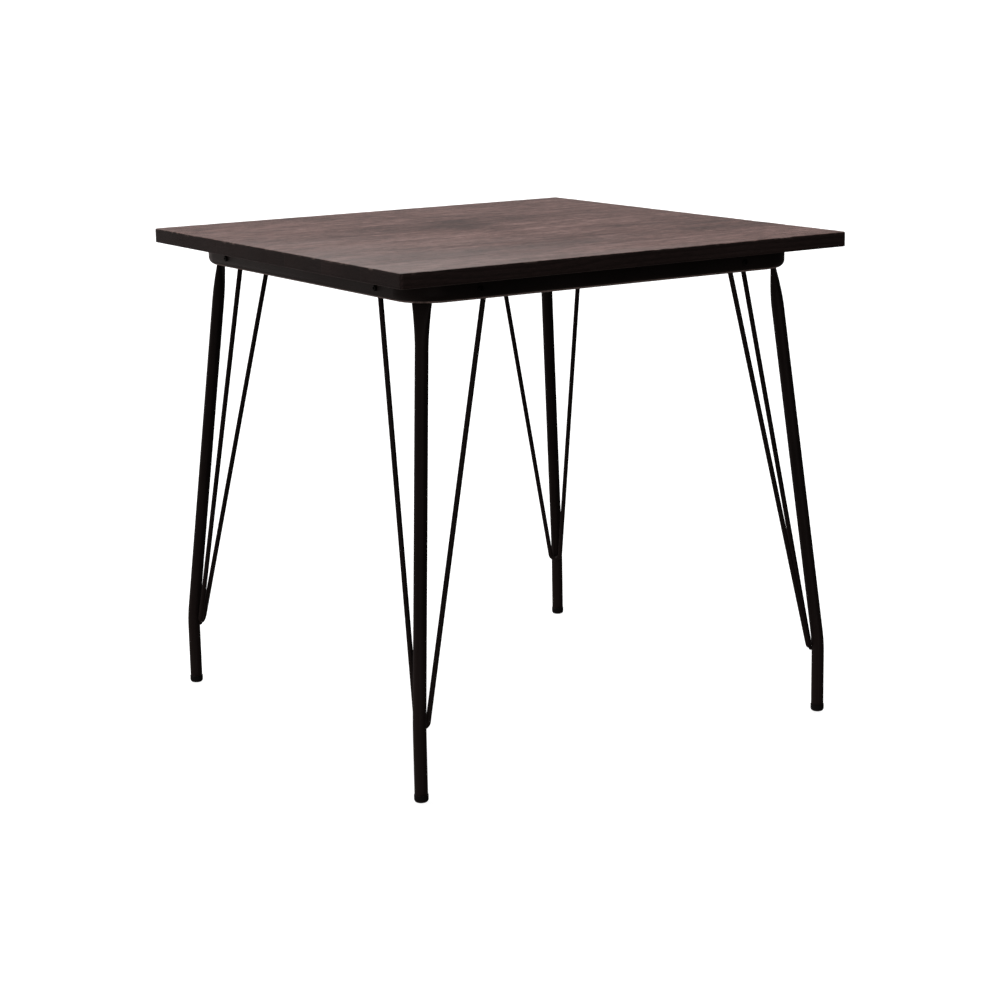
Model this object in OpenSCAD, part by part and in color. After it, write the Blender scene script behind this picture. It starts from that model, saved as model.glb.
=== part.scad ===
// Square cafe table: solid board top on a rounded sheet-steel frame, four splayed tube legs,
// each braced by a bent V rod. Millimetres, +Z up, origin on the floor under the table's middle.

/* [Overall] */
// Height of the tabletop's upper face above the floor
table_h = 776; // [700:1:790]
// Side length of the square tabletop
top_w = 800; // [700:10:900]

/* [Tabletop] */
// Thickness of the boards
top_t = 23; // [18:1:30]
// Radius along the upper edges
top_edge_r = 2; // [1:0.5:6]
// Chamfer along the lower edges
top_low_c = 1; // [0.5:0.5:4]
// Radius of the four corners seen from above
top_corner_r = 5; // [2:1:20]

/* [Frame] */
// Outer width of the sheet-steel frame under the top
frame_w = 700; // [600:10:760]
// Height of the frame's side
frame_h = 33; // [27:1:50]
// Thickness of the sheet
sheet_t = 2; // [1.5:0.5:3]
// Radius of the frame's corners seen from above
frame_corner_r = 60; // [40:5:100]
// Outer radius of the rolled lower lip
lip_r = 12; // [8:1:14]
// Width of the flange that carries the top
flange_w = 26; // [20:1:40]
// Distance of the side screws from the middle of each side
side_screw_x = 240; // [200:5:260]
// Height of the side screws above the frame's lower edge
side_screw_z = 16; // [14:1:20]

/* [Corner plates] */
// Thickness of the corner plates
plate_t = 3; // [2:0.5:5]
// Length of each plate's edge along the frame
plate_leg = 168; // [120:4:200]
// Width of the turned-down end tabs
tab_w = 24; // [16:1:30]

/* [Legs] */
// Outer diameter of the leg tubes
tube_d = 20; // [18:0.5:25]
// Wall thickness of the leg tubes
tube_wall = 1.5; // [1:0.25:2.5]
// Distance of the feet from the middle of the table along X and Y
foot_x = 374; // [340:1:390]
// Height of the bend above the floor
bend_z = 116; // [80:2:180]
// Lean of the upper leg towards the middle, in degrees from vertical
lean = 7.2; // [3:0.1:12]
// Radius of the bend on the tube's centreline
bend_r = 300; // [100:10:400]
// Width of the flattened upper end
flat_w = 31; // [28:1:34]
// Thickness of the flattened upper end
flat_t = 4; // [3:0.5:6]
// Length over which the tube flattens
flat_len = 70; // [50:1:90]
// Height above the frame's lower edge at which the tube is fully flat
flat_rise = 5; // [4:1:12]

/* [Brace rods] */
// Diameter of the V rods
rod_d = 8; // [6:0.5:10]
// Radius of the V's bend on the rod's centreline
rod_bend_r = 9; // [8:0.5:14]
// Height of the V's lowest centreline point
rod_z = 109; // [90:1:150]
// Distance of the rods from the middle of the nearest side, at the frame's lower edge
rod_x = 225; // [190:1:260]
// Distance of the rods behind the frame's outer face
rod_inset = 17; // [16:0.5:20]

/* [Foot caps] */
// Outer diameter of the foot caps
cap_d = 21.5; // [21:0.5:25]
// Height of the foot caps
cap_h = 12; // [8:1:20]
// Thickness of the cap's floor
cap_floor = 3; // [2:0.5:5]
// Radius around the cap's lower edge
cap_edge_r = 5; // [3:0.5:8]

/* [Fasteners] */
// Diameter of the machine screws
bolt_d = 6; // [5:0.5:8]
// Diameter of the wood screws
wood_screw_d = 4; // [3.5:0.5:5]
// Depth that the wood screws reach into the boards
wood_screw_bite = 14; // [10:1:16]

/* [Hidden] */
$fn = 64;
big = 2000;
slack = 0.2;
board_count = 7;
board_w = top_w / board_count;
top_z = table_h - top_t;
frame_half = frame_w / 2;
frame_z = top_z - frame_h;
corner_c = frame_half - frame_corner_r;
flange_bend_r = sheet_t + 1;
plate_z = top_z - sheet_t - plate_t;
plate_edge = frame_half - sheet_t - 0.5;
plate_in = frame_half - plate_leg;
tab_z = plate_z - 21;
screw_z = frame_z + side_screw_z;
hole_r = bolt_d / 2 + slack;
flange_screw_y = frame_half - 14;
plate_screw_a = frame_half - 16;
plate_screw_b = 264;

// the leg runs in the vertical plane through the table's corner; d is the distance outwards in it
foot_d = foot_x * sqrt(2);
tube_r = tube_d / 2;
bend_cut = bend_r * tan(lean / 2);
arc_z = bend_z - bend_cut;
leg_s_top = (plate_z - 0.3 - bend_z) / cos(lean);
flat_s1 = (frame_z + flat_rise - bend_z) / cos(lean);
flat_s0 = flat_s1 - flat_len;
flat_steps = 12;
bolt_s = (plate_z - 9.5 - bend_z) / cos(lean);
bore_s = flat_s0 - 6;

// the V rod lies in a plane that leans inwards from the leg
rod_r = rod_d / 2;
rod_foot_d = foot_d - tube_r - rod_r - 0.35;
rod_top_a = frame_half - rod_inset;
rod_top_d = (rod_top_a + rod_x) / sqrt(2);
rod_top_e = (rod_top_a - rod_x) / sqrt(2);
rod_tilt = atan((rod_foot_d - rod_top_d) / (frame_z - rod_z));
rod_rise = (frame_z - rod_z) / cos(rod_tilt) - rod_bend_r;
rod_reach = sqrt(rod_top_e * rod_top_e + rod_rise * rod_rise);
rod_half_angle = atan(rod_top_e / rod_rise) - asin(rod_bend_r / rod_reach);
rod_cut_z = plate_z - 0.05;
weld_r = 3.4;
sleeve_h = 0.6;
proud = 0.02;
rod_proud = 0.08;

wood_c = [0.42, 0.35, 0.33];
steel_c = [0.10, 0.10, 0.10];
plate_c = [0.14, 0.14, 0.14];
cap_c = [0.05, 0.05, 0.05];
screw_c = [0.20, 0.20, 0.21];

// ---------- placing ----------

BACK_RIGHT = 0;
BACK_LEFT = 90;
FRONT_LEFT = 180;
FRONT_RIGHT = 270;

// puts a shape drawn in the +X +Y corner into another corner
module at_corner(turn) {
  rotate([0, 0, turn]) children();
}

// local frame with X along the corner's diagonal
module on_diagonal() {
  rotate([0, 0, 45]) children();
}

// local frame on the upper leg: Z runs up its axis from the bend, X points outwards
module on_upper_leg() {
  translate([foot_d, 0, bend_z])
    rotate([0, -lean, 0])
      children();
}

// local frame in the V rod's plane: Y across it, Z up it, from its lowest centreline point
module on_rod_plane() {
  translate([rod_foot_d, 0, rod_z])
    rotate([0, -rod_tilt, 0])
      children();
}

// ---------- tabletop ----------

module rounded_square(w, r) {
  union() {
    square([w - 2 * r, w], center = true);
    square([w, w - 2 * r], center = true);
    for (x = [-1, 1])
      for (y = [-1, 1])
        translate([x * (w / 2 - r), y * (w / 2 - r)])
          circle(r);
  }
}

module slab_profile() {
  h = top_w / 2;
  r = top_edge_r;
  c = top_low_c;
  union() {
    polygon([
      [-h, c], [-h + c, 0], [h - c, 0], [h, c],
      [h, top_t - r], [h - r, top_t], [-h + r, top_t], [-h, top_t - r]
    ]);
    for (x = [-1, 1])
      translate([x * (h - r), top_t - r])
        circle(r);
  }
}

module slab() {
  translate([0, 0, top_z])
    intersection() {
      rotate([90, 0, 0])
        linear_extrude(height = big, center = true)
          slab_profile();
      rotate([90, 0, 90])
        linear_extrude(height = big, center = true)
          slab_profile();
      linear_extrude(height = top_t)
        rounded_square(top_w, top_corner_r);
    }
}

// every wood screw: position, and the height of the face its head bears on
side_points = [
  for (s = [-1, 0, 1])
    for (side = [-1, 1])
      [s * board_w, side * flange_screw_y, top_z - sheet_t]
];
end_points = [
  for (s = [-1, 0, 1])
    for (side = [-1, 1])
      [side * flange_screw_y, s * board_w, top_z - sheet_t]
];
plate_points = [
  for (x = [-1, 1])
    for (y = [-1, 1])
      for (p = [[plate_screw_a, plate_screw_b], [plate_screw_b, plate_screw_a]])
        [x * p[0], y * p[1], plate_z]
];
wood_points = concat(side_points, end_points, plate_points);

// board 1 is at the front, board 7 at the back; the grain runs along X
module board(n) {
  y0 = -top_w / 2 + (n - 1) * board_w;
  difference() {
    intersection() {
      slab();
      translate([-big / 2, y0, top_z - 1])
        cube([big, board_w, top_t + 2]);
    }
    for (p = wood_points)
      if (p[1] > y0 && p[1] < y0 + board_w)
        translate([p[0], p[1], top_z - 1])
          cylinder(d = wood_screw_d + slack, h = wood_screw_bite + 1.5);
  }
}

// ---------- sheet-steel frame ----------

module quarter_ring(outer, inner, up) {
  intersection() {
    difference() {
      circle(outer);
      circle(inner);
    }
    translate([0, up ? 0 : -outer])
      square([outer, outer]);
  }
}

// section of the frame: its outer face lies on x = 0, its lower edge on y = 0
module frame_section() {
  union() {
    translate([-lip_r, lip_r])
      quarter_ring(lip_r, lip_r - sheet_t, false);
    translate([-sheet_t, lip_r])
      square([sheet_t, frame_h - lip_r - flange_bend_r]);
    translate([-flange_bend_r, frame_h - flange_bend_r])
      quarter_ring(flange_bend_r, flange_bend_r - sheet_t, true);
    translate([-flange_w, frame_h - sheet_t])
      square([flange_w - flange_bend_r, sheet_t]);
  }
}

module frame_ring() {
  translate([0, 0, frame_z])
    for (k = [0 : 3])
      rotate([0, 0, 90 * k])
        union() {
          translate([corner_c, corner_c, 0])
            rotate_extrude(angle = 90)
              translate([frame_corner_r, 0])
                frame_section();
          translate([frame_half, corner_c, 0])
            rotate([90, 0, 0])
              linear_extrude(height = 2 * corner_c)
                frame_section();
        }
}

module side_screw_places() {
  for (k = [0 : 3])
    rotate([0, 0, 90 * k])
      for (s = [-1, 1])
        translate([frame_half, s * side_screw_x, screw_z])
          rotate([0, 90, 0])
            children();
}

module frame_with_holes() {
  difference() {
    frame_ring();
    side_screw_places()
      cylinder(r = hole_r, h = 4 * sheet_t, center = true);
    for (p = wood_points)
      translate([p[0], p[1], top_z - sheet_t - 1])
        cylinder(d = wood_screw_d + 1, h = sheet_t + 2);
  }
}

// ---------- corner plates ----------

module plate_blank() {
  translate([0, 0, plate_z])
    linear_extrude(height = plate_t)
      intersection() {
        rounded_square(2 * plate_edge, frame_corner_r - sheet_t - 0.5);
        polygon([[plate_in, frame_half], [frame_half, plate_in], [frame_half, frame_half]]);
      }
}

module end_tab() {
  translate([frame_half - sheet_t - plate_t, side_screw_x - tab_w / 2, tab_z])
    cube([plate_t, tab_w, plate_z + plate_t - tab_z]);
}

module end_tab_hole() {
  translate([frame_half, side_screw_x, screw_z])
    rotate([0, 90, 0])
      cylinder(r = hole_r, h = 40, center = true);
}

module corner_plate_shape() {
  difference() {
    union() {
      plate_blank();
      end_tab();
      mirror([1, -1, 0]) end_tab();
      on_diagonal()
        on_upper_leg()
          translate([-flat_t / 2 - plate_t, -flat_w / 2, flat_s1])
            cube([plate_t, flat_w, leg_s_top + 2 - flat_s1]);
    }
    end_tab_hole();
    mirror([1, -1, 0]) end_tab_hole();
    on_diagonal()
      on_upper_leg()
        translate([0, 0, bolt_s])
          rotate([0, 90, 0])
            cylinder(r = hole_r, h = 30, center = true);
    for (p = [[plate_screw_a, plate_screw_b], [plate_screw_b, plate_screw_a]])
      translate([p[0], p[1], plate_z - 1])
        cylinder(d = wood_screw_d + 1, h = plate_t + 2);
  }
}

// ---------- legs ----------

// one bent round bar along the leg's centreline, up to height s on the upper leg's axis;
// a short sleeve, a hair proud, joins each straight to the bend
module leg_bar(r, z0, s_end) {
  union() {
    translate([foot_d, 0, z0])
      cylinder(r = r, h = arc_z - z0);
    translate([foot_d, 0, arc_z - sleeve_h / 2])
      cylinder(r = r + proud, h = sleeve_h);
    translate([foot_d - bend_r, 0, arc_z])
      rotate([90, 0, 0])
        rotate_extrude(angle = lean)
          translate([bend_r, 0])
            circle(r);
    on_upper_leg()
      translate([0, 0, bend_cut]) {
        cylinder(r = r, h = s_end - bend_cut);
        translate([0, 0, -sleeve_h / 2])
          cylinder(r = r + proud, h = sleeve_h);
      }
  }
}

// the tube flattens over u = 0, where it is round, to u = 1, where it is flat
function flat_s(u) = flat_s0 + flat_len * u;
function half_thickness(u) = flat_t / 2 + (tube_r - flat_t / 2) * cos(90 * u);
function half_width(u) = tube_r + (flat_w / 2 - tube_r) * pow(u, 1.65);
flat_us = [for (i = [0 : flat_steps]) i / flat_steps];

// seen along the flat: full thickness at the bottom, flat at the top
module thickness_profile() {
  right = [for (u = flat_us) [half_thickness(u), flat_s(u)]];
  left = [for (i = [0 : flat_steps]) [-right[flat_steps - i][0], right[flat_steps - i][1]]];
  polygon(concat(
    right, [[flat_t / 2, leg_s_top], [-flat_t / 2, leg_s_top]], left
  ));
}

// half of what is seen facing the flat: the tube widens as it flattens
module width_profile() {
  polygon(concat(
    [[0, flat_s0]],
    [for (u = flat_us) [half_width(u), flat_s(u)]],
    [[flat_w / 2, leg_s_top], [0, leg_s_top]]
  ));
}

module flattened_end() {
  intersection() {
    rotate_extrude()
      width_profile();
    rotate([90, 0, 0])
      linear_extrude(height = 2 * flat_w, center = true)
        thickness_profile();
  }
}

module leg_tube_shape() {
  on_diagonal()
    difference() {
      union() {
        leg_bar(tube_r, cap_floor, flat_s0 + 1);
        on_upper_leg() flattened_end();
      }
      leg_bar(tube_r - tube_wall, cap_floor - 1, bore_s);
      on_upper_leg()
        translate([0, 0, bolt_s])
          rotate([0, 90, 0])
            cylinder(r = hole_r, h = 30, center = true);
    }
}

// ---------- brace rods ----------

// local frame at the start of one arm, Z along it
module on_arm(side) {
  translate([0, side * rod_bend_r * cos(rod_half_angle), rod_bend_r * (1 - sin(rod_half_angle))])
    rotate([-side * rod_half_angle, 0, 0])
      children();
}

module rod_arm(side) {
  on_arm(side) {
    cylinder(r = rod_r, h = rod_reach + 60);
    translate([0, 0, -sleeve_h / 2])
      cylinder(r = rod_r + rod_proud, h = sleeve_h);
  }
}

module rod_bend() {
  translate([0, 0, rod_bend_r])
    rotate([90, 0, 90])
      rotate([0, 0, 180 + rod_half_angle])
        rotate_extrude(angle = 180 - 2 * rod_half_angle)
          translate([rod_bend_r, 0])
            circle(rod_r);
}

module brace_rod_shape() {
  on_diagonal()
    difference() {
      on_rod_plane()
        union() {
          rod_bend();
          rod_arm(1);
          rod_arm(-1);
        }
      translate([0, -big / 2, rod_cut_z])
        cube([big, big, big]);
    }
}

// ---------- foot caps ----------

module foot_cap_shape() {
  r = cap_d / 2;
  on_diagonal()
    translate([foot_d, 0, 0])
      difference() {
        rotate_extrude()
          union() {
            square([r - cap_edge_r, cap_edge_r]);
            intersection() {
              translate([r - cap_edge_r, cap_edge_r])
                circle(cap_edge_r);
              square([r, cap_edge_r]);
            }
            polygon([
              [0, cap_edge_r], [r, cap_edge_r], [r, cap_h - 0.6], [r - 0.6, cap_h], [0, cap_h]
            ]);
          }
        translate([0, 0, cap_floor])
          cylinder(r = tube_r + 0.05, h = cap_h);
      }
}

// ---------- fasteners ----------

// button head with a hexagon socket; the shank points down from z = 0
module button_screw(length) {
  difference() {
    union() {
      cylinder(d = bolt_d * 1.6, h = 1.3);
      translate([0, 0, 1.3])
        cylinder(d1 = bolt_d * 1.6, d2 = bolt_d * 1.05, h = 1.6);
      translate([0, 0, -length])
        cylinder(d = bolt_d, h = length + 0.5);
    }
    translate([0, 0, 1.1])
      cylinder(d = bolt_d * 0.68, h = 4, $fn = 6);
  }
}

module hex_nut() {
  difference() {
    cylinder(d = bolt_d * 1.92, h = bolt_d * 0.83, $fn = 6);
    translate([0, 0, -1])
      cylinder(r = hole_r - 0.1, h = bolt_d + 2);
  }
}

// pan-head wood screw pointing up from z = 0, its head below
module wood_screw(grip) {
  tip = 4;
  difference() {
    union() {
      translate([0, 0, -1.4])
        cylinder(d = wood_screw_d * 2, h = 1.4);
      translate([0, 0, -2.6])
        cylinder(d1 = wood_screw_d * 1.2, d2 = wood_screw_d * 2, h = 1.2);
      cylinder(d = wood_screw_d, h = grip + wood_screw_bite - tip);
      translate([0, 0, grip + wood_screw_bite - tip])
        cylinder(d1 = wood_screw_d, d2 = 0.8, h = tip);
    }
    translate([0, 0, -3])
      cylinder(d = 2.4, h = 1.9, $fn = 6);
  }
}

module all_corners() {
  for (turn = [0 : 90 : 270])
    at_corner(turn) children();
}

module leg_bolt_place() {
  on_diagonal()
    on_upper_leg()
      translate([flat_t / 2, 0, bolt_s])
        rotate([0, 90, 0])
          children();
}

// ---------- welds ----------

// a bead in the notch under the V, between the rod and the tube
module foot_weld_shape() {
  on_diagonal()
    difference() {
      translate([foot_d - tube_r - 1.4, 0, rod_z - rod_r - 0.4])
        sphere(r = weld_r);
      translate([foot_d, 0, rod_z - 30])
        cylinder(r = tube_r + 0.05, h = 60);
      translate([rod_foot_d, 0, rod_z])
        rotate([90, 0, 0])
          cylinder(r = rod_r + 0.05, h = 40, center = true);
    }
}

module top_weld_shape() {
  on_diagonal()
    intersection() {
      difference() {
        on_rod_plane()
          for (side = [-1, 1])
            on_arm(side)
              translate([0, 0, rod_reach + 20])
                cylinder(r1 = rod_r - 0.4, r2 = rod_r + 3.2, h = 10);
        on_rod_plane() rod_arm(1);
        on_rod_plane() rod_arm(-1);
      }
      translate([0, -big / 2, 0])
        cube([big, big, rod_cut_z]);
    }
}

// ---------- sub-parts ----------

module top_board_1() color(wood_c) board(1);
module top_board_2() color(wood_c) board(2);
module top_board_3() color(wood_c) board(3);
module top_board_4() color(wood_c) board(4);
module top_board_5() color(wood_c) board(5);
module top_board_6() color(wood_c) board(6);
module top_board_7() color(wood_c) board(7);

module apron_frame() color(steel_c) frame_with_holes();

module corner_plate_front_left() color(plate_c) at_corner(FRONT_LEFT) corner_plate_shape();
module corner_plate_front_right() color(plate_c) at_corner(FRONT_RIGHT) corner_plate_shape();
module corner_plate_back_left() color(plate_c) at_corner(BACK_LEFT) corner_plate_shape();
module corner_plate_back_right() color(plate_c) at_corner(BACK_RIGHT) corner_plate_shape();

module leg_tube_front_left() color(steel_c) at_corner(FRONT_LEFT) leg_tube_shape();
module leg_tube_front_right() color(steel_c) at_corner(FRONT_RIGHT) leg_tube_shape();
module leg_tube_back_left() color(steel_c) at_corner(BACK_LEFT) leg_tube_shape();
module leg_tube_back_right() color(steel_c) at_corner(BACK_RIGHT) leg_tube_shape();

module brace_rod_front_left() color(steel_c) at_corner(FRONT_LEFT) brace_rod_shape();
module brace_rod_front_right() color(steel_c) at_corner(FRONT_RIGHT) brace_rod_shape();
module brace_rod_back_left() color(steel_c) at_corner(BACK_LEFT) brace_rod_shape();
module brace_rod_back_right() color(steel_c) at_corner(BACK_RIGHT) brace_rod_shape();

module foot_cap_front_left() color(cap_c) at_corner(FRONT_LEFT) foot_cap_shape();
module foot_cap_front_right() color(cap_c) at_corner(FRONT_RIGHT) foot_cap_shape();
module foot_cap_back_left() color(cap_c) at_corner(BACK_LEFT) foot_cap_shape();
module foot_cap_back_right() color(cap_c) at_corner(BACK_RIGHT) foot_cap_shape();

module apron_side_screws() {
  color(screw_c)
    side_screw_places()
      button_screw(sheet_t + plate_t + 6.5);
}

module apron_side_nuts() {
  color(screw_c)
    side_screw_places()
      translate([0, 0, -sheet_t - plate_t - bolt_d * 0.83])
        hex_nut();
}

module leg_bolts() {
  color(screw_c)
    all_corners()
      leg_bolt_place()
        button_screw(flat_t + plate_t + 6.5);
}

module leg_bolt_nuts() {
  color(screw_c)
    all_corners()
      leg_bolt_place()
        translate([0, 0, -flat_t - plate_t - bolt_d * 0.83])
          hex_nut();
}

module top_fixing_screws() {
  color(screw_c)
    for (p = wood_points)
      translate(p)
        wood_screw(top_z - p[2]);
}

module brace_foot_welds() color(steel_c) all_corners() foot_weld_shape();

module brace_top_welds() color(steel_c) all_corners() top_weld_shape();

// ---------- output ----------

top_board_1();
top_board_2();
top_board_3();
top_board_4();
top_board_5();
top_board_6();
top_board_7();
apron_frame();
corner_plate_front_left();
corner_plate_front_right();
corner_plate_back_left();
corner_plate_back_right();
leg_tube_front_left();
leg_tube_front_right();
leg_tube_back_left();
leg_tube_back_right();
brace_rod_front_left();
brace_rod_front_right();
brace_rod_back_left();
brace_rod_back_right();
foot_cap_front_left();
foot_cap_front_right();
foot_cap_back_left();
foot_cap_back_right();
apron_side_screws();
apron_side_nuts();
leg_bolts();
leg_bolt_nuts();
top_fixing_screws();
brace_foot_welds();
brace_top_welds();
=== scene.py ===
"""Looks of a square cafe table: stained board top, black powder-coated frame, legs and V rods."""

import math

import bpy
from mathutils import Matrix, Vector, noise


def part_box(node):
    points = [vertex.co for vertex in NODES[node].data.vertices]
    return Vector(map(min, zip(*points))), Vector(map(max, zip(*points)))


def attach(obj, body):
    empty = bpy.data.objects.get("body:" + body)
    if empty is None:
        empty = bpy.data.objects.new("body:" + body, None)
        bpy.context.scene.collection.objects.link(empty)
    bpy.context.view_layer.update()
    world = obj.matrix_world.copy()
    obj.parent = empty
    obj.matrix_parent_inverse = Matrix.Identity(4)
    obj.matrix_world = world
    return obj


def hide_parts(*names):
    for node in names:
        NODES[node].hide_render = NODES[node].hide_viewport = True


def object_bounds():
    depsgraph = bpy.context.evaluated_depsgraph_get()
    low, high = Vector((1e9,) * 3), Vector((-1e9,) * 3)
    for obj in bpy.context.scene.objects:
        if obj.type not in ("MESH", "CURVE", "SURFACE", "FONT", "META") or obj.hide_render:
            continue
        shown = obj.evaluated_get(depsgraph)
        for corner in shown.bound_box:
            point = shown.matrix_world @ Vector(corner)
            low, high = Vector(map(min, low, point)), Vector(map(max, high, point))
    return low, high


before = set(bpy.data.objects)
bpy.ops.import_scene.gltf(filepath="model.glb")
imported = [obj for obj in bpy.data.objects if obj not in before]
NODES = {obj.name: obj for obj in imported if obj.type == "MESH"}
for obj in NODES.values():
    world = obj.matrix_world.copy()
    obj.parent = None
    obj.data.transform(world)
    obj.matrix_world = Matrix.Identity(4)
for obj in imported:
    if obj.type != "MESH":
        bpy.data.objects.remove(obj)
CAD_BOX = [list(v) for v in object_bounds()]
CORNERS = ("front_left", "front_right", "back_left", "back_right")
BOARDS = sorted(n for n in NODES if n.startswith("top_board_"))

# the square top: half its side, its upper face, the width of one board and its lower face
HALF = CAD_BOX[1][0]
TOP_Z = CAD_BOX[1][2]
BOARD_W = 2 * HALF / len(BOARDS)
WOOD_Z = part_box(BOARDS[0])[0].z


# ---------- material nodes ----------

class Tree:
    """A small builder for procedural materials."""

    def __init__(self, name):
        self.material = bpy.data.materials.new(name)
        self.material.use_nodes = True
        self.tree = self.material.node_tree
        self.tree.nodes.clear()
        self.bsdf = self.tree.nodes.new("ShaderNodeBsdfPrincipled")
        output = self.tree.nodes.new("ShaderNodeOutputMaterial")
        self.link(self.bsdf.outputs[0], output.inputs[0])
        self.coords = self.tree.nodes.new("ShaderNodeTexCoord").outputs["Object"]

    def link(self, a, b):
        self.tree.links.new(a, b)

    def feed(self, socket, value):
        """Puts a constant or a link into a socket."""
        if isinstance(value, bpy.types.NodeSocket):
            self.link(value, socket)
        else:
            socket.default_value = value

    def math(self, op, a, b=0.0, c=0.0, clamp=False):
        n = self.tree.nodes.new("ShaderNodeMath")
        n.operation = op
        n.use_clamp = clamp
        for socket, value in zip(n.inputs, (a, b, c)):
            self.feed(socket, value)
        return n.outputs[0]

    def scaled(self, vector, scale):
        n = self.tree.nodes.new("ShaderNodeMapping")
        self.link(vector, n.inputs["Vector"])
        n.inputs["Scale"].default_value = scale
        return n.outputs[0]

    def add(self, a, b):
        n = self.tree.nodes.new("ShaderNodeVectorMath")
        n.operation = "ADD"
        self.feed(n.inputs[0], a)
        self.feed(n.inputs[1], b)
        return n.outputs[0]

    def split(self, vector):
        n = self.tree.nodes.new("ShaderNodeSeparateXYZ")
        self.link(vector, n.inputs[0])
        return n.outputs[0], n.outputs[1], n.outputs[2]

    def join(self, x, y, z):
        n = self.tree.nodes.new("ShaderNodeCombineXYZ")
        for socket, value in zip(n.inputs, (x, y, z)):
            self.feed(socket, value)
        return n.outputs[0]

    def noise(self, vector, scale, detail=3.0, rough=0.55, distortion=0.0):
        n = self.tree.nodes.new("ShaderNodeTexNoise")
        self.link(vector, n.inputs["Vector"])
        n.inputs["Scale"].default_value = scale
        n.inputs["Detail"].default_value = detail
        n.inputs["Roughness"].default_value = rough
        n.inputs["Distortion"].default_value = distortion
        return n.outputs[0]

    def random(self, value):
        n = self.tree.nodes.new("ShaderNodeTexWhiteNoise")
        n.noise_dimensions = "1D"
        self.link(value, n.inputs["W"])
        return n.outputs["Value"], n.outputs["Color"]

    def ramp(self, value, stops):
        n = self.tree.nodes.new("ShaderNodeValToRGB")
        ramp = n.color_ramp
        while len(ramp.elements) < len(stops):
            ramp.elements.new(0.5)
        for element, (place, colour) in zip(ramp.elements, stops):
            element.position = place
            element.color = (*colour, 1) if len(colour) == 3 else colour
        self.link(value, n.inputs[0])
        return n.outputs[0]

    def step(self, value, low, high, to_low=0.0, to_high=1.0):
        """Smoothly maps low..high to to_low..to_high."""
        n = self.tree.nodes.new("ShaderNodeMapRange")
        n.interpolation_type = "SMOOTHSTEP"
        self.feed(n.inputs["Value"], value)
        n.inputs["From Min"].default_value = low
        n.inputs["From Max"].default_value = high
        n.inputs["To Min"].default_value = to_low
        n.inputs["To Max"].default_value = to_high
        return n.outputs[0]

    def mix(self, factor, a, b):
        n = self.tree.nodes.new("ShaderNodeMix")
        n.data_type = "RGBA"
        self.feed(n.inputs[0], factor)
        for socket, value in ((n.inputs[6], a), (n.inputs[7], b)):
            if not isinstance(value, bpy.types.NodeSocket) and len(value) == 3:
                value = (*value, 1)
            self.feed(socket, value)
        return n.outputs[2]

    def bump(self, height, distance, strength):
        n = self.tree.nodes.new("ShaderNodeBump")
        self.link(height, n.inputs["Height"])
        n.inputs["Distance"].default_value = distance
        n.inputs["Strength"].default_value = strength
        return n.outputs[0]

    def facing(self):
        """The face's own normal as three numbers."""
        n = self.tree.nodes.new("ShaderNodeNewGeometry")
        return self.split(n.outputs["Normal"])

    def finish(self, colour, roughness, normal=None, **constants):
        self.feed(self.bsdf.inputs["Base Color"], colour)
        self.feed(self.bsdf.inputs["Roughness"], roughness)
        if normal is not None:
            self.link(normal, self.bsdf.inputs["Normal"])
        for name, value in constants.items():
            self.bsdf.inputs[name.replace("_", " ")].default_value = value
        return self.material


def dress(piece, material):
    """Gives a piece one material."""
    piece.data.materials.clear()
    piece.data.materials.append(material)
    for polygon in piece.data.polygons:
        polygon.material_index = 0


# ---------- materials ----------

# small dark pin knots on the top: middle x and y, and radius, in metres
PIN_KNOTS = (
    (-0.004, 0.018, 0.0032),
    (0.350, -0.074, 0.0035),
    (0.309, -0.230, 0.0035),
    (0.315, -0.290, 0.0028),
)

# broad places in the stain: middle x and y, half length and half width in metres, and how much lighter
STAIN_PLACES = (
    (0.010, 0.085, 0.045, 0.150, -0.055),
    (0.110, 0.010, 0.100, 0.028, -0.045),
    (-0.074, -0.048, 0.060, 0.022, 0.060),
    (0.176, -0.088, 0.050, 0.022, -0.060),
    (-0.200, 0.290, 0.120, 0.020, 0.045),
    (0.330, -0.130, 0.070, 0.120, -0.035),
    (0.100, 0.340, 0.280, 0.090, -0.035),
    (0.080, -0.340, 0.220, 0.050, 0.035),
    (0.300, 0.120, 0.110, 0.050, 0.030),
    (-0.320, 0.050, 0.100, 0.090, 0.022),
)

# stain colours from dark to light, each with the tone at which it is reached
FACE_STAIN = (
    (0.42, (0.036, 0.017, 0.014)),
    (0.51, (0.092, 0.047, 0.040)),
    (0.60, (0.158, 0.087, 0.076)),
    (0.72, (0.290, 0.180, 0.160)),
)
# the edges take the stain darker than the face and are darkened further by painted shade on these side
# faces
END_GRAIN_STAIN_AND_SHADE = (
    (0.32, (0.008, 0.0034, 0.0031)),
    (0.46, (0.018, 0.0080, 0.0073)),
    (0.60, (0.038, 0.0205, 0.0188)),
)
LONG_EDGE_STAIN_AND_SHADE = (
    (0.32, (0.018, 0.0095, 0.0088)),
    (0.46, (0.042, 0.0240, 0.0222)),
    (0.60, (0.072, 0.0460, 0.0420)),
)
# painted shade on the downward faces: the underside and the lower chamfer
UNDERSIDE_PAINTED_SHADE = (0.016, 0.0095, 0.0085)
PORE_STAIN = (0.026, 0.013, 0.011)
# painted sheen: the pale grey that stands for the lacquer's reflection near the front left corner
PAINTED_SHEEN_GREY = (0.34, 0.31, 0.30)
BARE_WOOD = (0.27, 0.20, 0.175)
KNOT_BROWN = (0.014, 0.009, 0.008)
GLUE_LINE = (0.020, 0.012, 0.010)

RINGS_PER_METRE = 230.0
RIM_WEAR = 0.0045
GLUE_LINE_HALF_W = 0.0006


def long_grain(t, place, along, across, detail=3.0, rough=0.6, distortion=0.0):
    """Noise drawn out in X, with so many features per metre along and across the grain."""
    return t.noise(t.scaled(place, (along, across, across)), 1.0, detail, rough, distortion)


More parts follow.
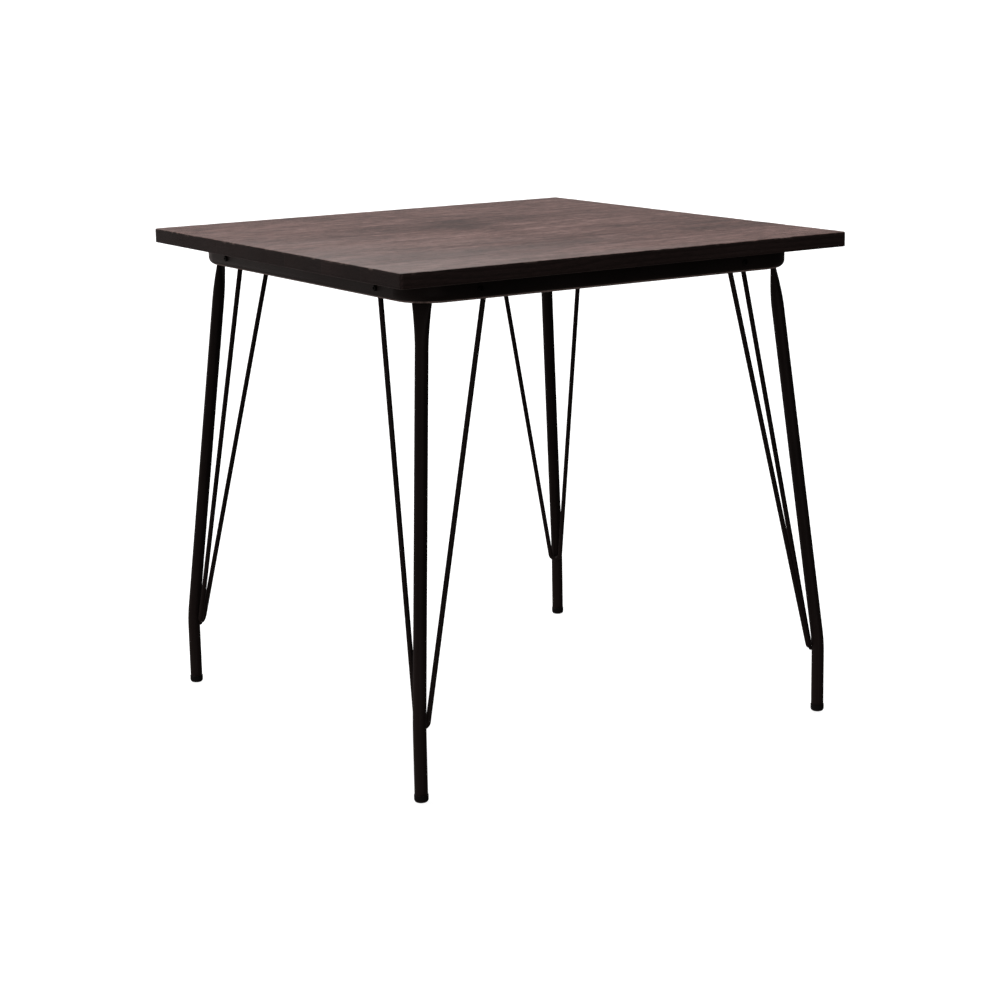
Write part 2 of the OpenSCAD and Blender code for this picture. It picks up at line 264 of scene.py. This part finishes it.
def ellipse_distance(t, x, y, middle, half_sizes):
    """0 in the middle of an ellipse and 1 on its outline."""
    dx = t.math("DIVIDE", t.math("SUBTRACT", x, middle[0]), half_sizes[0])
    dy = t.math("DIVIDE", t.math("SUBTRACT", y, middle[1]), half_sizes[1])
    return t.math("SQRT", t.math("ADD", t.math("MULTIPLY", dx, dx), t.math("MULTIPLY", dy, dy)))


def late_wood(t, place, from_middle, shift):
    """The dark part of each growth ring: cones round a pith that runs below the board."""
    x, y, z = t.split(t.coords)
    pith_side, pith_depth, taper = t.split(shift)
    off = t.math("MULTIPLY_ADD", pith_side, 0.10, t.math("SUBTRACT", from_middle, 0.05))
    below = t.math("SUBTRACT", 0.035, t.math("SUBTRACT", z, WOOD_Z))
    deep = t.math("MULTIPLY_ADD", pith_depth, 0.05, below)
    radius = t.math("SQRT", t.math("ADD", t.math("MULTIPLY", off, off), t.math("MULTIPLY", deep, deep)))
    wander = long_grain(t, place, 1.7, 7.0, 2.0, 0.5)
    ripple = long_grain(t, place, 11.0, 42.0, 2.0, 0.5)
    grown = t.math("MULTIPLY_ADD", wander, 0.030, t.math("MULTIPLY_ADD", ripple, 0.0022, radius))
    grown = t.math("MULTIPLY_ADD", t.math("MULTIPLY", x, t.math("SUBTRACT", taper, 0.5)), 0.035, grown)
    ring = t.math("FRACT", t.math("MULTIPLY", grown, RINGS_PER_METRE))
    return t.math("MULTIPLY", t.step(ring, 0.30, 0.90), t.step(ring, 1.0, 0.93))


def stain_tone(t, place, drift, fibres, late, shade):
    """How light the stain is on the face, from broad drift down to single fibres."""
    x, y, z = t.split(t.coords)
    streaks = long_grain(t, place, 8.0, 45.0, distortion=0.4)
    flecks = long_grain(t, place, 26.0, 72.0, 5.0, 0.8)
    mottle = long_grain(t, place, 75.0, 160.0, 4.0, 0.75)
    frayed = long_grain(t, t.coords, 9.0, 34.0, 4.0, 0.7)
    fray = t.math("MULTIPLY", t.math("SUBTRACT", frayed, 0.5), 2.2)
    tone = t.math("MULTIPLY_ADD", drift, 0.22, t.math("MULTIPLY", streaks, 0.28))
    for px, py, half_length, half_width, amount in STAIN_PLACES:
        d = ellipse_distance(t, x, y, (px, py), (half_length, half_width))
        tone = t.math("ADD", tone, t.step(t.math("ADD", d, fray), 1.7, 0.3, 0.0, amount))
    tone = t.math("MULTIPLY_ADD", flecks, 0.46, tone)
    tone = t.math("MULTIPLY_ADD", t.math("SUBTRACT", mottle, 0.5), 0.42, tone)
    tone = t.math("MULTIPLY_ADD", t.math("SUBTRACT", fibres, 0.17), 0.24, tone)
    tone = t.math("MULTIPLY_ADD", late, -0.07, tone)
    return t.math("MULTIPLY_ADD", shade, 0.04, tone)


def edge_stain_and_shade(t, drift, late):
    """The end grain and the long edges, darker than the face: partly the stain, which end grain takes
    darker, partly painted shade on all the side faces.
    """
    nx, ny, nz = t.facing()
    dots = long_grain(t, t.coords, 60.0, 620.0)
    broad = t.math("MULTIPLY_ADD", drift, 0.45, t.math("MULTIPLY", late, -0.10))
    patch = t.math("MULTIPLY_ADD", dots, 0.45, broad)
    long_side = t.step(t.math("ABSOLUTE", ny), 0.4, 0.8)
    return t.mix(long_side, t.ramp(patch, END_GRAIN_STAIN_AND_SHADE), t.ramp(patch, LONG_EDGE_STAIN_AND_SHADE))


def rim_wear(t):
    """Where the upper edges are rubbed down to paler wood."""
    x, y, z = t.split(t.coords)
    rim = t.math("SUBTRACT", HALF, t.math("MAXIMUM", t.math("ABSOLUTE", x), t.math("ABSOLUTE", y)))
    near_rim = t.step(rim, RIM_WEAR, 0.0005)
    near_top = t.step(z, TOP_Z - RIM_WEAR, TOP_Z - 0.001)
    rub = t.noise(t.scaled(t.coords, (38.0, 38.0, 60.0)), 1.0, 4.0, 0.7)
    return t.math("MULTIPLY", t.math("MULTIPLY", near_rim, near_top), t.step(rub, 0.53, 0.66))


def pin_knots(t):
    """Small dark spots, a little longer along the grain."""
    x, y, z = t.split(t.coords)
    knots = 0.0
    for kx, ky, radius in PIN_KNOTS:
        d = ellipse_distance(t, x, y, (kx, ky), (radius / 0.6, radius))
        knots = t.math("MAXIMUM", knots, t.step(d, 1.0, 0.35))
    return knots


def stained_wood():
    """Open-grained boards, each with its own growth rings, stained dark and lacquered."""
    t = Tree("stained_boards")
    x, y, z = t.split(t.coords)
    nx, ny, nz = t.facing()
    from_edge = t.math("ADD", y, HALF)
    board = t.math("FLOOR", t.math("DIVIDE", from_edge, BOARD_W))
    from_middle = t.math("SUBTRACT", from_edge, t.math("MULTIPLY_ADD", board, BOARD_W, BOARD_W / 2))
    shade, shift = t.random(board)
    place = t.add(t.coords, t.scaled(shift, (3.1, 1.7, 0.9)))

    # the face: stain, open pores and a painted sheen: pale grey mixed in for the lacquer's reflection,
    # strongest at the front left corner
    late = late_wood(t, place, from_middle, shift)
    drift = long_grain(t, place, 2.6, 6.5)
    fibres = long_grain(t, place, 16.0, 520.0, rough=0.65)
    pores = long_grain(t, place, 60.0, 1500.0, 1.0, 0.5)
    pore = t.math("MULTIPLY", t.step(pores, 0.56, 0.68), t.math("MULTIPLY_ADD", late, -0.6, 1.0))
    colour = t.ramp(stain_tone(t, place, drift, fibres, late, shade), FACE_STAIN)
    colour = t.mix(t.math("MULTIPLY", pore, 0.55), colour, PORE_STAIN)
    smudge = long_grain(t, t.coords, 6.0, 14.0, 4.0)
    away = t.math("MULTIPLY_ADD", t.math("ADD", x, HALF), 1.15, from_edge)
    near = t.math("SUBTRACT", 1.10, away)
    # painted sheen, fading away from the front left corner and broken up by the smudges
    painted_sheen = t.step(t.math("MULTIPLY_ADD", smudge, -0.50, near), 0.0, 0.95)
    colour = t.mix(t.math("MULTIPLY", painted_sheen, 0.34), colour, PAINTED_SHEEN_GREY)

    # the edges in stain and painted shade, the underside and lower chamfer in painted shade, worn rims,
    # knots and glue lines
    side = t.step(t.math("ABSOLUTE", nz), 0.80, 0.40)
    # edges: stain darkened further by painted shade
    colour = t.mix(side, colour, edge_stain_and_shade(t, drift, late))
    # painted shade on the lower chamfer and the underside
    colour = t.mix(t.step(nz, -0.15, -0.50, 0.0, 0.6), colour, UNDERSIDE_PAINTED_SHADE)
    colour = t.mix(t.math("MULTIPLY", rim_wear(t), 0.5), colour, BARE_WOOD)
    colour = t.mix(t.math("MULTIPLY", pin_knots(t), 0.85), colour, KNOT_BROWN)
    seam = t.step(t.math("PINGPONG", from_edge, BOARD_W / 2), GLUE_LINE_HALF_W, 0.0001)
    colour = t.mix(t.math("MULTIPLY", seam, 0.35), colour, GLUE_LINE)

    # the lacquer is a little glossier between the pores, and dull on the edges
    rough = t.math("MULTIPLY_ADD", smudge, 0.14, t.math("MULTIPLY_ADD", fibres, 0.16, 0.38))
    rough = t.math("MULTIPLY_ADD", pore, 0.15, rough)
    rough = t.math("MULTIPLY_ADD", side, 0.12, rough, clamp=True)
    relief = t.math("MULTIPLY_ADD", fibres, 0.6, t.math("MULTIPLY", seam, -1.0))
    relief = t.math("MULTIPLY_ADD", late, 0.25, t.math("MULTIPLY_ADD", pore, -1.0, relief))
    normal = t.bump(relief, 0.00030, 0.6)
    return t.finish(
        colour, rough, normal,
        IOR=1.45, Specular_IOR_Level=0.36, Specular_Tint=(1.0, 0.93, 0.91, 1.0),
    )


# the coat below this height gathers dust and scuffs
DUST_TOP = 0.42
SCUFF_GREY = (0.045, 0.038, 0.036)
# a pale painted highlight for the frame's rolled lip, where it would reflect the white floor
PAINTED_LIP_HIGHLIGHT = (0.42, 0.32, 0.29)


def lip_highlight(t, lip, scuff):
    """A painted highlight along the outer line of the frame's rolled lip, standing for the floor's
    reflection and broken up by scuffs; lip is its lowest height.
    """
    x, y, z = t.split(t.coords)
    nx, ny, nz = t.facing()
    lit_lip_line = t.math("MULTIPLY", t.step(z, lip + 0.0045, lip + 0.0025), t.step(nz, -0.35, -0.60))
    lit_lip_line = t.math("MULTIPLY", lit_lip_line, t.step(nz, -0.985, -0.90))
    return t.math("MULTIPLY", lit_lip_line, t.step(scuff, 0.30, 0.60, 0.45, 1.0))


def powder_coat(name, base, dust=0.5, lip=None):
    """Fine satin powder coat with a faint orange peel, rubbed and dusty places, and, when a lip height is
    given, a painted highlight along the lip.
    """
    t = Tree(name)
    peel = t.noise(t.coords, 520.0, 2.0, 0.5)
    grit = t.noise(t.coords, 2600.0, 1.0, 0.5)
    cloud = t.noise(t.coords, 9.0, 4.0, 0.6)
    scuff = t.noise(t.scaled(t.coords, (60.0, 60.0, 18.0)), 1.0, 5.0, 0.7, 0.4)
    x, y, z = t.split(t.coords)
    low = t.step(z, DUST_TOP, 0.0)
    nx, ny, nz = t.facing()
    up = t.step(nz, 0.2, 0.9)
    film = t.math("MULTIPLY_ADD", t.step(cloud, 0.30, 0.70), 0.5, t.math("MULTIPLY", low, 0.9))
    film = t.math("MULTIPLY", t.math("MULTIPLY_ADD", up, 0.6, film, clamp=True), dust)
    colour = t.mix(film, base, (base[0] * 3.3, base[1] * 3.2, base[2] * 3.2))
    mark = t.math("MULTIPLY", t.step(scuff, 0.64, 0.74), t.math("MULTIPLY_ADD", low, 0.4, 0.12))
    colour = t.mix(mark, colour, SCUFF_GREY)
    if lip is not None:
        # painted highlight along the lip's outer line
        colour = t.mix(t.math("MULTIPLY", lip_highlight(t, lip, scuff), 0.85), colour, PAINTED_LIP_HIGHLIGHT)
    rough = t.math("MULTIPLY_ADD", cloud, 0.16, t.math("MULTIPLY_ADD", grit, 0.10, 0.36), clamp=True)
    normal = t.bump(t.math("MULTIPLY_ADD", grit, 0.25, peel), 0.00012, 0.5)
    return t.finish(
        colour, rough, normal,
        IOR=1.45, Specular_IOR_Level=0.17, Specular_Tint=(1.0, 0.86, 0.83, 1.0),
    )


def hard_rubber():
    """Dull black rubber with floor dirt along its lowest edge."""
    t = Tree("foot_rubber")
    grain = t.noise(t.coords, 1800.0, 2.0, 0.6)
    cloud = t.noise(t.coords, 60.0, 3.0, 0.6)
    x, y, z = t.split(t.coords)
    dirt = t.math("MULTIPLY", t.step(z, 0.006, 0.0005), t.step(cloud, 0.3, 0.7))
    colour = t.mix(t.math("MULTIPLY", cloud, 0.5), (0.0060, 0.0048, 0.0045), (0.0130, 0.0100, 0.0092))
    colour = t.mix(t.math("MULTIPLY", dirt, 0.5), colour, (0.060, 0.048, 0.042))
    rough = t.math("MULTIPLY_ADD", grain, 0.2, 0.55, clamp=True)
    return t.finish(colour, rough, t.bump(grain, 0.0001, 0.5), IOR=1.5, Specular_IOR_Level=0.2)


def plated(name, dark, light, rough_from):
    """Turned and plated steel, its roughness and relief varied by fine noise."""
    t = Tree(name)
    fine = t.noise(t.coords, 3200.0, 2.0, 0.6)
    cloud = t.noise(t.coords, 220.0, 3.0, 0.6)
    colour = t.mix(cloud, dark, light)
    rough = t.math("MULTIPLY_ADD", fine, 0.2, t.math("MULTIPLY_ADD", cloud, 0.12, rough_from), clamp=True)
    return t.finish(colour, rough, t.bump(fine, 0.00005, 0.4), Metallic=1.0)


# ---------- shapes made here ----------

MM = 0.001
# the boards' edge radius, lower chamfer, corner radius in plan and eased joints
TOP_EDGE_R = 2 * MM
LOW_CHAMFER = 1 * MM
PLAN_CORNER_R = 5 * MM
JOINT_EASE = 0.3 * MM


def new_piece(name, points, faces, node):
    """Adds a smooth-shaded piece that stands for one CAD node."""
    mesh = bpy.data.meshes.new(name)
    mesh.from_pydata(points, [], faces)
    mesh.validate()
    mesh.polygons.foreach_set("use_smooth", [True] * len(mesh.polygons))
    piece = bpy.data.objects.new(name, mesh)
    bpy.context.scene.collection.objects.link(piece)
    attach(piece, "root")
    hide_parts(node)
    return piece


def edge_levels():
    """Heights of the boards' edge profile, with the inset of an outer edge and of a glued one."""
    levels = [(WOOD_Z, LOW_CHAMFER, JOINT_EASE), (WOOD_Z + JOINT_EASE, LOW_CHAMFER - JOINT_EASE, 0),
              (WOOD_Z + LOW_CHAMFER, 0, 0)]
    levels += [(WOOD_Z + h * MM, 0, 0) for h in (5, 9, 13, 17)]
    for degrees in range(0, 91, 15):
        a = math.radians(degrees)
        z = TOP_Z - TOP_EDGE_R * (1 - math.sin(a))
        levels.append((z, TOP_EDGE_R * (1 - math.cos(a)), max(0, z - TOP_Z + JOINT_EASE)))
    return levels


def spaced(low, high, step, fine):
    """Places from low to high, a step apart, and 1 mm apart over the last few millimetres where fine."""
    ends = [k * MM for k in range(6)] if fine else [0, 1 * MM, 3 * MM]
    inner_low, inner_high = low + ends[-1], high - ends[-1]
    count = round((inner_high - inner_low) / step)
    middle = [inner_low + (inner_high - inner_low) * k / count for k in range(1, count)]
    return [low + e for e in ends] + middle + [high - e for e in reversed(ends)]


def rubbed(x, y):
    """How far years of hands and chairs have rubbed back the upper edge at a place."""
    fine = noise.noise(Vector((x * 70, y * 70, 1.3)))
    broad = noise.noise(Vector((x * 14, y * 14, 8.7)))
    return 0.30 * MM * max(0, fine + 0.25) + 0.8 * MM * max(0, fine + 0.1) * max(0, broad)


def board(index):
    """One board with eased joints, rubbed outer edges and a top that cups by a hair."""
    y_low = -HALF + index * BOARD_W
    y_high = y_low + BOARD_W
    first, last = index == 0, index == len(BOARDS) - 1
    xs = spaced(-HALF, HALF, 6 * MM, True)
    ys = spaced(y_low, y_high, 5.5 * MM, first or last)
    nx, ny = len(xs) - 1, len(ys) - 1
    ring = ([(i, 0) for i in range(nx)] + [(nx, j) for j in range(ny)]
            + [(i, ny) for i in range(nx, 0, -1)] + [(0, j) for j in range(ny, 0, -1)])
    points, rows = [], []

    def place(i, j, z, outer, joint):
        low = y_low + (outer if first else joint)
        high = y_high - (outer if last else joint)
        x = xs[i] * (HALF - outer) / HALF
        y = low + (ys[j] - y_low) * (high - low) / BOARD_W
        r = max(PLAN_CORNER_R - outer, 1.5 * MM)
        dx = abs(x) - (HALF - outer - r)
        dy = max((low + r - y) if first else 0, (y - high + r) if last else 0)
        if dx > 0 and dy > 0:
            pull = max(dx, dy) / math.hypot(dx, dy)
            x -= math.copysign(dx * (1 - pull), x)
            y += dy * (1 - pull) * (1 if first and y < low + r else -1)
        high_up = max(0, (z - TOP_Z + TOP_EDGE_R) / TOP_EDGE_R)
        across = 2 * (y - y_low) / BOARD_W - 1
        dip = 1 + noise.noise(Vector((x * 4, y * 9, index * 5.1)))
        z -= high_up * MM * (0.09 * across * across + 0.03 * dip)
        rim = HALF - max(abs(x), abs(y))
        if high_up > 0 and rim < 6 * MM:
            back = rubbed(x, y) * math.sin(math.pi * min(high_up, 0.5)) * (1 - rim / (6 * MM))
            z -= back * min(high_up, 1)
            x -= math.copysign(back, x) if HALF - abs(x) <= HALF - abs(y) + 2 * MM else 0
            y -= math.copysign(back, y) if HALF - abs(y) <= HALF - abs(x) + 2 * MM else 0
        return (x, y, z)

    levels = edge_levels()
    for number, (z, outer, joint) in enumerate(levels):
        whole = number in (0, len(levels) - 1)
        keys = [(i, j) for i in range(nx + 1) for j in range(ny + 1)] if whole else ring
        rows.append({})
        for key in keys:
            rows[-1][key] = len(points)
            points.append(place(*key, z, outer, joint))
    faces = []
    for lower, upper in zip(rows, rows[1:]):
        for k, key in enumerate(ring):
            following = ring[(k + 1) % len(ring)]
            faces.append((lower[key], lower[following], upper[following], upper[key]))
    for i in range(nx):
        for j in range(ny):
            square = [(i, j), (i + 1, j), (i + 1, j + 1), (i, j + 1)]
            faces.append([rows[-1][key] for key in square])
            faces.append([rows[0][key] for key in reversed(square)])
    name = BOARDS[index]
    return new_piece(name.replace("top_board", "stained_board"), points, faces, name)


# the leg, as the CAD has it: tube, bend, lean and pressed end
TUBE_R = 10 * MM
BEND_Z = 116 * MM
BEND_R = 300 * MM
LEAN = math.radians(7.2)
FLAT_HALF_T = 2 * MM
FLAT_HALF_W = 15.5 * MM
FLAT_LEN = 70 * MM
FLAT_START = 5 * MM
SECTION_POINTS = 48


def pressed_leg(corner):
    """A bent tube, round below and pressed flat at its upper end, as one smooth skin."""
    node = "leg_tube_" + corner
    low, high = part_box(node)
    out = Vector((math.copysign(1, low.x), math.copysign(1, low.y), 0)).normalized()
    side = Vector((-out.y, out.x, 0))
    cap_low, cap_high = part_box("foot_cap_" + corner)
    foot_d = math.hypot(cap_low.x + cap_high.x, cap_low.y + cap_high.y) / 2
    cut = BEND_R * math.tan(LEAN / 2)
    arc_z = BEND_Z - cut
    frame_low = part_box("apron_frame")[0].z
    flat_s = (frame_low + FLAT_START - BEND_Z) / math.cos(LEAN)
    top_s = (high.z - BEND_Z) / math.cos(LEAN)
    round_s = flat_s - FLAT_LEN

    spine = [(foot_d, low.z + (arc_z - low.z) * k / 6, 0, 0) for k in range(6)]
    for k in range(13):
        a = LEAN * k / 12
        spine.append((foot_d - BEND_R * (1 - math.cos(a)), arc_z + BEND_R * math.sin(a), a, 0))
    stations = [cut + (round_s - cut) * k / 14 for k in range(1, 14)]
    stations += [round_s + FLAT_LEN * k / 28 for k in range(29)] + [flat_s + (top_s - flat_s) / 2, top_s]
    for s in stations:
        u = min(max((s - round_s) / FLAT_LEN, 0), 1)
        spine.append((foot_d - s * math.sin(LEAN), BEND_Z + s * math.cos(LEAN), LEAN, u))

    points, faces = [], []
    for d, z, tilt, u in spine:
        thick = FLAT_HALF_T + (TUBE_R - FLAT_HALF_T) * math.cos(math.pi / 2 * u)
        wide = TUBE_R + (FLAT_HALF_W - TUBE_R) * u ** 1.65
        across = out * math.cos(tilt) + Vector((0, 0, 1)) * math.sin(tilt)
        for k in range(SECTION_POINTS):
            a = 2 * math.pi * k / SECTION_POINTS
            spread = math.tanh(6 * math.sin(a)) * (wide - thick) + thick * math.sin(a)
            points.append(out * d + Vector((0, 0, z)) + across * thick * math.cos(a) + side * spread)
    n = SECTION_POINTS
    for r in range(len(spine) - 1):
        for k in range(n):
            m = (k + 1) % n
            faces.append((r * n + k, r * n + m, (r + 1) * n + m, (r + 1) * n + k))
    faces.append(list(range(n - 1, -1, -1)))
    faces.append([(len(spine) - 1) * n + k for k in range(n)])
    return new_piece("pressed_leg_" + corner, points, faces, node)


WOOD = stained_wood()
FRAME_COAT = powder_coat("frame_coat", (0.0105, 0.0078, 0.0072), lip=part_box("apron_frame")[0].z)
PLATE_COAT = powder_coat("plate_coat", (0.0125, 0.0095, 0.0090), 0.8)
LEG_COAT = powder_coat("leg_coat", (0.0085, 0.0060, 0.0056), 0.7)
ROD_COAT = powder_coat("rod_coat", (0.0100, 0.0070, 0.0065), 0.6)
RUBBER = hard_rubber()
BLACK_STEEL = plated("black_screws", (0.008, 0.007, 0.007), (0.022, 0.020, 0.019), 0.45)
ZINC = plated("zinc_fasteners", (0.30, 0.30, 0.31), (0.50, 0.50, 0.52), 0.30)

for index in range(len(BOARDS)):
    dress(board(index), WOOD)
dress(NODES["apron_frame"], FRAME_COAT)
for corner in CORNERS:
    dress(NODES["corner_plate_" + corner], PLATE_COAT)
    dress(pressed_leg(corner), LEG_COAT)
    dress(NODES["brace_rod_" + corner], ROD_COAT)
    dress(NODES["foot_cap_" + corner], RUBBER)
dress(NODES["brace_foot_welds"], LEG_COAT)
dress(NODES["brace_top_welds"], ROD_COAT)
for name in ("apron_side_screws", "leg_bolts"):
    dress(NODES[name], BLACK_STEEL)
for name in ("apron_side_nuts", "leg_bolt_nuts", "top_fixing_screws"):
    dress(NODES[name], ZINC)


# ---------- floor, light and camera ----------

def look_from(azimuth, elevation, roll, distance, target):
    """World matrix of a camera or light that looks at target from that side, in degrees and metres."""
    a, e, r = (math.radians(v) for v in (azimuth, elevation, roll))
    forward = Vector((-math.sin(a) * math.cos(e), math.cos(a) * math.cos(e), -math.sin(e)))
    right = forward.cross(Vector((0, 0, 1))).normalized()
    up = right.cross(forward)
    right, up = (math.cos(r) * right + math.sin(r) * up, -math.sin(r) * right + math.cos(r) * up)
    turn = Matrix((right, up, -forward)).transposed()
    return Matrix.Translation(Vector(target) - forward * distance) @ turn.to_4x4()


# tint of the sweep and of the panel
WARM = (1.0, 0.89, 0.865)


def studio_floor(half_width, glow):
    """A white floor that fades every shadow and lights nothing else."""
    t = Tree("floor_paint")
    speck = t.noise(t.coords, 90.0, 2.0, 0.5)
    colour = t.mix(speck, (0.34, 0.34, 0.34), (0.38, 0.38, 0.38))
    material = t.finish(
        colour, 0.9,
        Specular_IOR_Level=0.05, Emission_Color=(1, 1, 1, 1), Emission_Strength=glow,
    )
    mesh = bpy.data.meshes.new("studio_floor")
    w = half_width
    mesh.from_pydata([(-w, -w, 0), (w, -w, 0), (w, w, 0), (-w, w, 0)], [], [(0, 1, 2, 3)])
    floor = bpy.data.objects.new("studio_floor", mesh)
    bpy.context.scene.collection.objects.link(floor)
    floor.data.materials.append(material)
    floor.visible_diffuse = False
    floor.visible_glossy = False


def soft_sun(name, azimuth, elevation, spread, strength):
    """A very wide, soft light from far off."""
    data = bpy.data.lights.new(name, "SUN")
    data.angle = math.radians(spread)
    data.energy = strength
    light = bpy.data.objects.new(name, data)
    bpy.context.scene.collection.objects.link(light)
    light.matrix_world = look_from(azimuth, elevation, 0, 5, (0, 0, 0))


def soft_box(name, place, aim, size, radiance):
    """A near, square light panel that shows only in gloss and shade."""
    data = bpy.data.lights.new(name, "AREA")
    data.size = size
    data.color = WARM
    data.energy = math.pi * size * size * radiance
    light = bpy.data.objects.new(name, data)
    bpy.context.scene.collection.objects.link(light)
    way = (Vector(aim) - Vector(place)).normalized()
    light.matrix_world = Matrix.Translation(place) @ way.to_track_quat("-Z", "Y").to_matrix().to_4x4()
    light.visible_camera = False


def studio_world(bright_side, dark, bright):
    """A white sweep on one side of the table that falls off to a dim room on the other."""
    world = bpy.data.worlds.new("studio")
    bpy.context.scene.world = world
    world.use_nodes = True
    tree = world.node_tree
    tree.nodes.clear()
    new, link = tree.nodes.new, tree.links.new
    along = new("ShaderNodeVectorMath")
    along.operation = "DOT_PRODUCT"
    along.inputs[1].default_value = Vector(bright_side).normalized()
    link(new("ShaderNodeTexCoord").outputs["Generated"], along.inputs[0])
    fall = new("ShaderNodeMapRange")
    fall.interpolation_type = "SMOOTHSTEP"
    link(along.outputs["Value"], fall.inputs["Value"])
    fall.inputs["From Min"].default_value = -0.6
    fall.inputs["From Max"].default_value = 0.95
    fall.inputs["To Min"].default_value = dark
    fall.inputs["To Max"].default_value = bright
    lit = new("ShaderNodeBackground")
    lit.inputs["Color"].default_value = (*WARM, 1)
    link(fall.outputs[0], lit.inputs["Strength"])
    white = new("ShaderNodeBackground")
    white.inputs["Strength"].default_value = 1.0
    white.inputs["Color"].default_value = (1, 1, 1, 1)
    pick = new("ShaderNodeMixShader")
    link(new("ShaderNodeLightPath").outputs["Is Camera Ray"], pick.inputs[0])
    link(lit.outputs[0], pick.inputs[1])
    link(white.outputs[0], pick.inputs[2])
    link(pick.outputs[0], new("ShaderNodeOutputWorld").inputs[0])


studio_floor(half_width=400.0, glow=0.95)
studio_world(bright_side=(-0.56, 0.70, -0.35), dark=0.035, bright=0.27)
soft_sun("overhead_soft", azimuth=165, elevation=66, spread=50, strength=3.25)
soft_sun("left_soft", azimuth=-105, elevation=38, spread=60, strength=0.13)
soft_sun("front_soft", azimuth=-20, elevation=18, spread=60, strength=0.42)
soft_box("back_left_panel", place=(-0.50, 1.26, 0.60), aim=(-0.35, 0.30, 0.72), size=0.46, radiance=1.10)

scene = bpy.context.scene
scene.view_settings.view_transform = "Standard"
camera_data = bpy.data.cameras.new("photo_view")
camera_data.sensor_width = 36
camera_data.lens = 85.45
camera_data.clip_end = 2000
camera = bpy.data.objects.new("photo_view", camera_data)
scene.collection.objects.link(camera)
camera.matrix_world = look_from(
    azimuth=-32.615, elevation=12.45, roll=-1.043, distance=3.9, target=(0.0139, 0.0054, 0.3309),
)
scene.camera = camera
